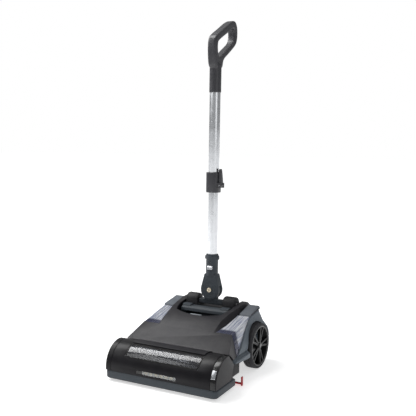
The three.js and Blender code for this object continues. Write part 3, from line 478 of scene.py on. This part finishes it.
def tidyMesh(piece):
    openPiece(piece, "VERT")
    bpy.ops.mesh.select_all(action="SELECT")
    bpy.ops.mesh.remove_doubles(threshold=0.000001)
    bpy.ops.mesh.normals_make_consistent(inside=False)
    bpy.ops.object.mode_set(mode="OBJECT")


def addBlock(name, low, high, edge=0.0004):
    clearSelection()
    middle = [(a + b) / 2 for a, b in zip(low, high)]
    bpy.ops.mesh.primitive_cube_add(size=1, location=middle)
    piece = bpy.context.object
    piece.name = name
    piece.scale = [b - a for a, b in zip(low, high)]
    applyPlace(piece)
    openPiece(piece, "EDGE")
    bpy.ops.mesh.select_all(action="SELECT")
    bpy.ops.mesh.bevel(offset=edge, segments=2, affect="EDGES")
    bpy.ops.object.mode_set(mode="OBJECT")
    return piece


def addRod(name, start, end, radius, sides=10):
    clearSelection()
    start, end = Vector(start), Vector(end)
    run = end - start
    bpy.ops.mesh.primitive_cylinder_add(vertices=sides, radius=radius, depth=run.length)
    piece = bpy.context.object
    piece.name = name
    pickFaces(piece, lambda face: abs(face.normal.z) > 0.9)
    bpy.ops.mesh.bevel(offset=radius * 0.6, segments=2, affect="EDGES")
    bpy.ops.object.mode_set(mode="OBJECT")
    turned = run.to_track_quat("Z", "Y").to_matrix().to_4x4()
    piece.matrix_world = Matrix.Translation((start + end) / 2) @ turned
    applyPlace(piece)
    return piece


def copyPiece(piece, name, move):
    twin = piece.copy()
    twin.data = piece.data.copy()
    twin.name = name
    bpy.context.collection.objects.link(twin)
    twin.matrix_world = move
    return twin


def joinPieces(name, parts):
    clearSelection()
    for part in parts:
        part.select_set(True)
    bpy.context.view_layer.objects.active = parts[0]
    if len(parts) > 1:
        bpy.ops.object.join()
    whole = bpy.context.view_layer.objects.active
    whole.name = name
    applyPlace(whole)
    return whole


def settle(piece, body, finish, angle=40):
    piece.data.materials.clear()
    piece.data.materials.append(finishes[finish])
    clearSelection()
    piece.select_set(True)
    bpy.context.view_layer.objects.active = piece
    bpy.ops.object.shade_smooth_by_angle(angle=math.radians(angle))
    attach(piece, body)
    return piece


def dropSource(piece):
    bpy.data.objects.remove(piece, do_unlink=True)


# brush: helical rows of tufts on the core
tufts = {"centre": (-0.177, 0.045), "root": 0.0152, "tip": 0.0432, "from": -0.143, "to": 0.156,
         "rows": 6, "perRow": 44, "twist": 1.6, "thick": 0.0019, "lean": 0.09}


def addBrushTufts():
    random.seed(11)
    clearSelection()
    reach = tufts["tip"] - tufts["root"]
    bpy.ops.mesh.primitive_cone_add(vertices=7, radius1=tufts["thick"], radius2=tufts["thick"] * 1.25,
                                    depth=reach, location=(0, 0, tufts["root"] + reach / 2))
    tuft = bpy.context.object
    applyPlace(tuft)
    pickFaces(tuft, lambda face: face.normal.z > 0.9)
    bpy.ops.mesh.inset(thickness=tufts["thick"] * 0.45)
    bpy.ops.transform.translate(value=(0, 0, -0.0016))
    bpy.ops.object.mode_set(mode="OBJECT")
    length = tufts["to"] - tufts["from"]
    made = []
    for row in range(tufts["rows"]):
        for step in range(tufts["perRow"]):
            along = step / (tufts["perRow"] - 1)
            turn = 2 * math.pi * row / tufts["rows"] + tufts["twist"] * along
            x = tufts["from"] + length * along
            splay = random.uniform(-tufts["lean"], tufts["lean"])
            place = (Matrix.Translation((x, *tufts["centre"])) @ Matrix.Rotation(turn, 4, "X")
                     @ Matrix.Rotation(splay, 4, "Y"))
            made.append(copyPiece(tuft, "tuft", place))
    dropSource(tuft)
    brushTufts = joinPieces("brush_tufts", made)
    settle(brushTufts, "brush", "nylonBristle")
    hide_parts("brush_bristles")


# lamp: light chips on the board behind the lens, dark end piece at the left
lampRow = {"face": -0.2436, "thin": 0.0006, "z": 0.0434, "chips": 6, "from": -0.044, "pitch": 0.0172,
           "chip": (0.0052, 0.0030), "endFrom": -0.0757, "endTo": -0.057}


def addLampRow():
    face, z = lampRow["face"], lampRow["z"]
    wide, tall = lampRow["chip"]
    chip = addBlock("chip", (-wide, face - lampRow["thin"], z - tall), (wide, face, z + tall), 0.0002)
    pickFaces(chip, lambda side: side.normal.y < -0.9)
    bpy.ops.mesh.inset(thickness=0.0007)
    bpy.ops.transform.translate(value=(0, 0.0003, 0))
    bpy.ops.object.mode_set(mode="OBJECT")
    chips = [copyPiece(chip, "chip", Matrix.Translation((lampRow["from"] + i * lampRow["pitch"], 0, 0)))
             for i in range(lampRow["chips"])]
    dropSource(chip)
    settle(joinPieces("lamp_chips", chips), "chassis", "chipYellow")
    ending = addBlock("lamp_end", (lampRow["endFrom"], face - lampRow["thin"], z - 0.0050),
                      (lampRow["endTo"], face, z + 0.0050), 0.0002)
    settle(ending, "chassis", "glossBlack")


# raised ribs moulded on the clear wings of the bin
wing = {"front": -0.081, "back": 0.042, "frontTop": 0.144, "backTop": 0.170, "ridge": 0.156,
        "lowFront": 0.184, "lowBack": 0.190, "lowZ": 0.040, "rib": 0.0009,
        "topRun": (-0.073, 0.037), "topRibs": (0.1225, 0.1290, 0.1355, 0.1420, 0.1485),
        "sideFront": -0.077, "sideRibs": ((0.07, 0.020), (0.17, -0.006), (0.28, -0.026), (0.42, -0.050))}


def wingTop(y):
    share = (y - wing["front"]) / (wing["back"] - wing["front"])
    return wing["frontTop"] + (wing["backTop"] - wing["frontTop"]) * share


def wingSide(y, down):
    share = (y - wing["front"]) / (wing["back"] - wing["front"])
    low = wing["lowFront"] + (wing["lowBack"] - wing["lowFront"]) * share
    x = wing["ridge"] + (low - wing["ridge"]) * down
    return x, wingTop(y) + (wing["lowZ"] - wingTop(y)) * down


def addWingRibs():
    for side, hand in ((-1, "left"), (1, "right")):
        rods = []
        for x in wing["topRibs"]:
            front, back = wing["topRun"]
            rods.append(addRod("rib", (side * x, front, wingTop(front)), (side * x, back, wingTop(back)),
                               wing["rib"]))
        for down, back in wing["sideRibs"]:
            front = wing["sideFront"]
            (x0, z0), (x1, z1) = wingSide(front, down), wingSide(back, down)
            rods.append(addRod("rib", (side * x0, front, z0), (side * x1, back, z1), wing["rib"]))
        settle(joinPieces("wing_ribs_" + hand, rods), "bin_unit", "binClear")


# air slots on the sides of the cover: matt black rods laid on the surface, painted shade in place of the dark
# inside of the slots
airSlotShades = {"runs": ((0.022, 0.038), (0.043, 0.059), (0.064, 0.080)), "thick": 0.0013,
            "front": (0.020, 0.1076, 0.1810), "back": (0.081, 0.1136, 0.1860)}


def coverSide(y):
    (y0, x0, z0), (y1, x1, z1) = airSlotShades["front"], airSlotShades["back"]
    share = (y - y0) / (y1 - y0)
    return x0 + (x1 - x0) * share, z0 + (z1 - z0) * share


def addAirSlotShades():
    for side, hand in ((-1, "left"), (1, "right")):
        rods = []
        for front, back in airSlotShades["runs"]:
            (x0, z0), (x1, z1) = coverSide(front), coverSide(back)
            rods.append(addRod("slot", (side * x0, front, z0), (side * x1, back, z1), airSlotShades["thick"]))
        # matt black rods: painted shade of the slot openings
        settle(joinPieces("air_slot_shades_" + hand, rods), "bin_unit", "mattBlack")


# tyres and rim flanges: profiles in millimetres spun round the axle
tyre = {"x": 0.167, "y": 0.068, "z": 0.072, "steps": 96,
        "profile": ((-16.9, 66.0), (-16.4, 69.2), (-14.4, 71.2), (-7.5, 71.9), (-6.6, 70.2), (-5.0, 70.2),
                    (-4.1, 71.9), (4.1, 71.9), (5.0, 70.2), (6.6, 70.2), (7.5, 71.9), (14.4, 71.2),
                    (16.4, 69.2), (16.9, 66.0), (15.6, 64.1), (-15.6, 64.1)),
        "flange": ((15.2, 60.2), (16.2, 60.6), (16.2, 63.2), (15.2, 63.5))}


def spinProfile(name, profile, centre, steps):
    clearSelection()
    bpy.ops.mesh.primitive_circle_add(vertices=len(profile), radius=0.01, fill_type="NOTHING")
    piece = bpy.context.object
    piece.name = name
    for corner, (x, radius) in zip(piece.data.vertices, profile):
        corner.co = (x / 1000, 0, radius / 1000)
    openPiece(piece, "VERT")
    bpy.ops.mesh.select_all(action="SELECT")
    bpy.ops.mesh.spin(steps=steps, angle=2 * math.pi, center=(0, 0, 0), axis=(1, 0, 0))
    bpy.ops.object.mode_set(mode="OBJECT")
    tidyMesh(piece)
    piece.location = centre
    applyPlace(piece)
    return piece


def addTyres():
    for side, hand in ((-1, "left"), (1, "right")):
        centre = (side * tyre["x"], tyre["y"], tyre["z"])
        ring = spinProfile("road_tyre_" + hand, tyre["profile"], centre, tyre["steps"])
        settle(ring, "wheel_" + hand, "tyreRubber", 50)
        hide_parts("tyre_" + hand)
        outline = [(side * x, radius) for x, radius in tyre["flange"]]
        flange = spinProfile("rim_flange_" + hand, outline, centre, tyre["steps"])
        settle(flange, "wheel_" + hand, "glossBlack", 50)


# hand grip: the loop rounded off all over
gripSkin = {"voxel": 0.0016, "passes": 14}


def addHandGrip():
    clearSelection()
    source = nodes["handle_grip"]
    handLoop = bpy.data.objects.new("hand_loop", source.data.copy())
    bpy.context.collection.objects.link(handLoop)
    handLoop.matrix_world = source.matrix_world.copy()
    tidyMesh(handLoop)
    for kind, settings in (("REMESH", {"mode": "VOXEL", "voxel_size": gripSkin["voxel"]}),
                           ("SMOOTH", {"iterations": gripSkin["passes"], "factor": 0.5})):
        change = handLoop.modifiers.new(kind.lower(), kind)
        for key, value in settings.items():
            setattr(change, key, value)
        bpy.context.view_layer.objects.active = handLoop
        bpy.ops.object.modifier_apply(modifier=change.name)
    handLoop = settle(handLoop, "extension", "gripCharcoal", 60)
    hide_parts("handle_grip")


# fork: concentric ridges round the pivot, and a thin matt black cross on the bolt as painted shade of its
# driver slot
forkFace = {"depth": -0.0160, "ridges": ((0.0118, 0.0007), (0.0180, 0.0008), (0.0255, 0.0008)),
            "boltFace": -0.0200, "slotHalf": (0.0050, 0.0006), "slotFrom": -0.0001, "slotTo": 0.0003,
            "slotTurn": 0.5}


def addForkRidges():
    rings = []
    for radius, thick in forkFace["ridges"]:
        clearSelection()
        bpy.ops.mesh.primitive_torus_add(major_radius=radius, minor_radius=thick, major_segments=72,
                                         minor_segments=8)
        ring = bpy.context.object
        ring.matrix_world = (uprightFrame @ Matrix.Translation((0, forkFace["depth"], 0))
                             @ Matrix.Rotation(math.radians(90), 4, "X"))
        rings.append(ring)
    settle(joinPieces("fork_ridges", rings), "neck", "darkSlate", 60)
    long, short = forkFace["slotHalf"]
    cross = [addBlock("cut", (-a, forkFace["slotFrom"], -b), (a, forkFace["slotTo"], b), 0.0001)
             for a, b in ((long, short), (short, long))]
    for piece in cross:
        piece.matrix_world = (uprightFrame @ Matrix.Translation((0, forkFace["boltFace"], 0))
                              @ Matrix.Rotation(forkFace["slotTurn"], 4, "Y"))
    # matt black cross: painted shade in the bolt's driver slot
    settle(joinPieces("bolt_recess_shade", cross), "neck", "mattBlack")


# spring clip: one bent strip
clip = {"halfWide": 0.0080, "middle": 0.0015, "thick": 0.0006, "edge": 0.00015,
        "path": ((-17.9, 67.2), (-19.4, 66.9), (-21.1, 68.6), (-21.3, 71.0), (-20.5, 73.0), (-21.3, 75.0),
                 (-21.1, 77.4), (-19.4, 79.1), (-17.9, 78.8))}


def addSpringClip():
    clearSelection()
    rows = len(clip["path"])
    bpy.ops.mesh.primitive_grid_add(x_subdivisions=6, y_subdivisions=rows - 1, size=2)
    strip = bpy.context.object
    strip.name = "clip_strip"
    for corner in strip.data.vertices:
        row = round((corner.co.y + 1) / 2 * (rows - 1))
        y, z = clip["path"][row]
        corner.co = (clip["middle"] + corner.co.x * clip["halfWide"], y / 1000, z / 1000)
    tidyMesh(strip)
    wall = strip.modifiers.new("wall", "SOLIDIFY")
    wall.thickness = clip["thick"]
    wall.offset = 0
    soft = strip.modifiers.new("soft", "BEVEL")
    soft.width = clip["edge"]
    soft.segments = 2
    for change in ("wall", "soft"):
        bpy.context.view_layer.objects.active = strip
        bpy.ops.object.modifier_apply(modifier=change)
    strip.matrix_world = uprightFrame
    applyPlace(strip)
    settle(strip, "tube_clip", "platedSteel")
    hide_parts("spring_clip")


# shoulder blocks and sills: a matt black rod as painted shade in the finger groove, tread ribs
groove = {"x": 0.1578, "front": (0.052, 0.1728), "back": (0.112, 0.1790), "thick": 0.0013}
sill = {"from": -0.106, "to": -0.016, "ribs": ((0.1812, 0.0717), (0.1788, 0.0739), (0.1764, 0.0761),
                                               (0.1740, 0.0783)), "thick": 0.0007}


def addGroovesAndSills():
    for side, hand in ((-1, "left"), (1, "right")):
        x = side * groove["x"]
        line = addRod("finger_groove_shade_" + hand, (x, *groove["front"]), (x, *groove["back"]), groove["thick"])
        # matt black rod: painted shade in the finger groove
        settle(line, "chassis", "mattBlack")
        ribs = [addRod("rib", (side * x, sill["from"], z), (side * x, sill["to"], z), sill["thick"], 8)
                for x, z in sill["ribs"]]
        settle(joinPieces("sill_ribs_" + hand, ribs), "chassis", "fenderSlate")


# window seal: a soft bead laid round the window with rounded ends
seal = {"half": 0.1245, "low": 34.0, "high": 72.6, "corner": 0.014, "radius": 0.0706, "wide": 0.0021,
        "proud": 0.0008, "around": 160, "sides": 10, "cornerSteps": 12, "axis": (-0.177, 0.040)}


def sealOutline():
    height = math.radians(seal["high"] - seal["low"]) * seal["radius"]
    r = seal["corner"]
    flatX, flatS = seal["half"] - r, height / 2 - r
    corners = ((flatX, flatS, 0), (-flatX, flatS, 90), (-flatX, -flatS, 180), (flatX, -flatS, 270))
    points = []
    for cx, cs, start in corners:
        for i in range(seal["cornerSteps"] + 1):
            turn = math.radians(start + i * 90 / seal["cornerSteps"])
            points.append((cx + r * math.cos(turn), cs + r * math.sin(turn)))
    spaced, total = [], 0
    lengths = [math.dist(a, b) for a, b in zip(points, points[1:] + points[:1])]
    pitch = sum(lengths) / seal["around"]
    for a, b, length in zip(points, points[1:] + points[:1], lengths):
        while len(spaced) * pitch < total + length and len(spaced) < seal["around"]:
            share = (len(spaced) * pitch - total) / length
            spaced.append((a[0] + (b[0] - a[0]) * share, a[1] + (b[1] - a[1]) * share))
        total += length
    return spaced


def addWindowSeal():
    outline = sealOutline()
    sides = seal["sides"]
    clearSelection()
    bpy.ops.mesh.primitive_torus_add(major_segments=len(outline), minor_segments=sides,
                                     major_radius=0.1, minor_radius=0.01)
    bead = bpy.context.object
    bead.name = "window_seal"
    middle = math.radians((seal["low"] + seal["high"]) / 2)
    for i, (x, s) in enumerate(outline):
        (xa, sa), (xb, sb) = outline[i - 1], outline[(i + 1) % len(outline)]
        run = Vector((xb - xa, sb - sa)).normalized()
        for j in range(sides):
            turn = 2 * math.pi * j / sides
            across = seal["wide"] * math.cos(turn)
            up = seal["proud"] * math.sin(turn)
            angle = middle + (s - run.x * across) / seal["radius"]
            reach = seal["radius"] + up
            bead.data.vertices[i * sides + j].co = (
                x + run.y * across, seal["axis"][0] - reach * math.cos(angle),
                seal["axis"][1] + reach * math.sin(angle))
    tidyMesh(bead)
    settle(bead, "chassis", "softRubber", 60)


# underside screws
screws = {"z": 0.0195, "radius": 0.0036, "depth": 0.0016, "edge": 0.0004, "rim": 0.0014, "recess": 0.0009,
          "places": ((0.122, -0.030), (0.122, 0.050), (0.122, 0.135), (-0.122, -0.030), (-0.122, 0.050),
                     (-0.122, 0.135))}


def addScrews():
    clearSelection()
    bpy.ops.mesh.primitive_cylinder_add(vertices=20, radius=screws["radius"], depth=screws["depth"],
                                        rotation=(math.pi, 0, 0))
    head = bpy.context.object
    applyPlace(head)
    pickFaces(head, lambda face: face.normal.z < -0.9)
    bpy.ops.mesh.bevel(offset=screws["edge"], segments=2, affect="EDGES")
    bpy.ops.object.mode_set(mode="OBJECT")
    pickFaces(head, lambda face: face.normal.z < -0.9 and face.area > 0.00001)
    bpy.ops.mesh.inset(thickness=screws["rim"])
    bpy.ops.mesh.extrude_region_move(TRANSFORM_OT_translate={"value": (0, 0, screws["recess"])})
    bpy.ops.object.mode_set(mode="OBJECT")
    heads = [copyPiece(head, "screw", Matrix.Translation((x, y, screws["z"])))
             for x, y in screws["places"]]
    dropSource(head)
    settle(joinPieces("base_screws", heads), "chassis", "platedSteel")


# rear face: matt black rods as painted shade of air slots, and charging socket
rearFace = {"y": 0.1561, "slots": (0.070, 0.077, 0.084, 0.091, 0.098), "from": -0.098, "to": -0.040,
            "thick": 0.0014, "socket": (0.068, 0.086), "ring": (0.0062, 0.0012), "pinDeep": 0.002,
            "pinProud": 0.0010, "pin": 0.0012}


def addRearFace():
    y = rearFace["y"]
    rods = [addRod("slot", (rearFace["from"], y, z), (rearFace["to"], y, z), rearFace["thick"])
            for z in rearFace["slots"]]
    # matt black rods: painted shade of the rear air slots
    settle(joinPieces("rear_slot_shades", rods), "chassis", "mattBlack")
    x, z = rearFace["socket"]
    reach, thick = rearFace["ring"]
    clearSelection()
    bpy.ops.mesh.primitive_torus_add(major_radius=reach, minor_radius=thick, major_segments=48,
                                     minor_segments=10, location=(x, y, z),
                                     rotation=(math.radians(90), 0, 0))
    ring = bpy.context.object
    pin = addRod("pin", (x, y - rearFace["pinDeep"], z), (x, y + rearFace["pinProud"], z), rearFace["pin"])
    settle(joinPieces("charging_socket", [ring, pin]), "chassis", "glossBlack")


addBrushTufts()
addLampRow()
print("brush and lamp made")
addWingRibs()
addAirSlotShades()
addWindowSeal()
addGroovesAndSills()
print("bin, cover and body details made")
addTyres()
addHandGrip()
addForkRidges()
addSpringClip()
addScrews()
addRearFace()
print("wheels, handle and small parts made")
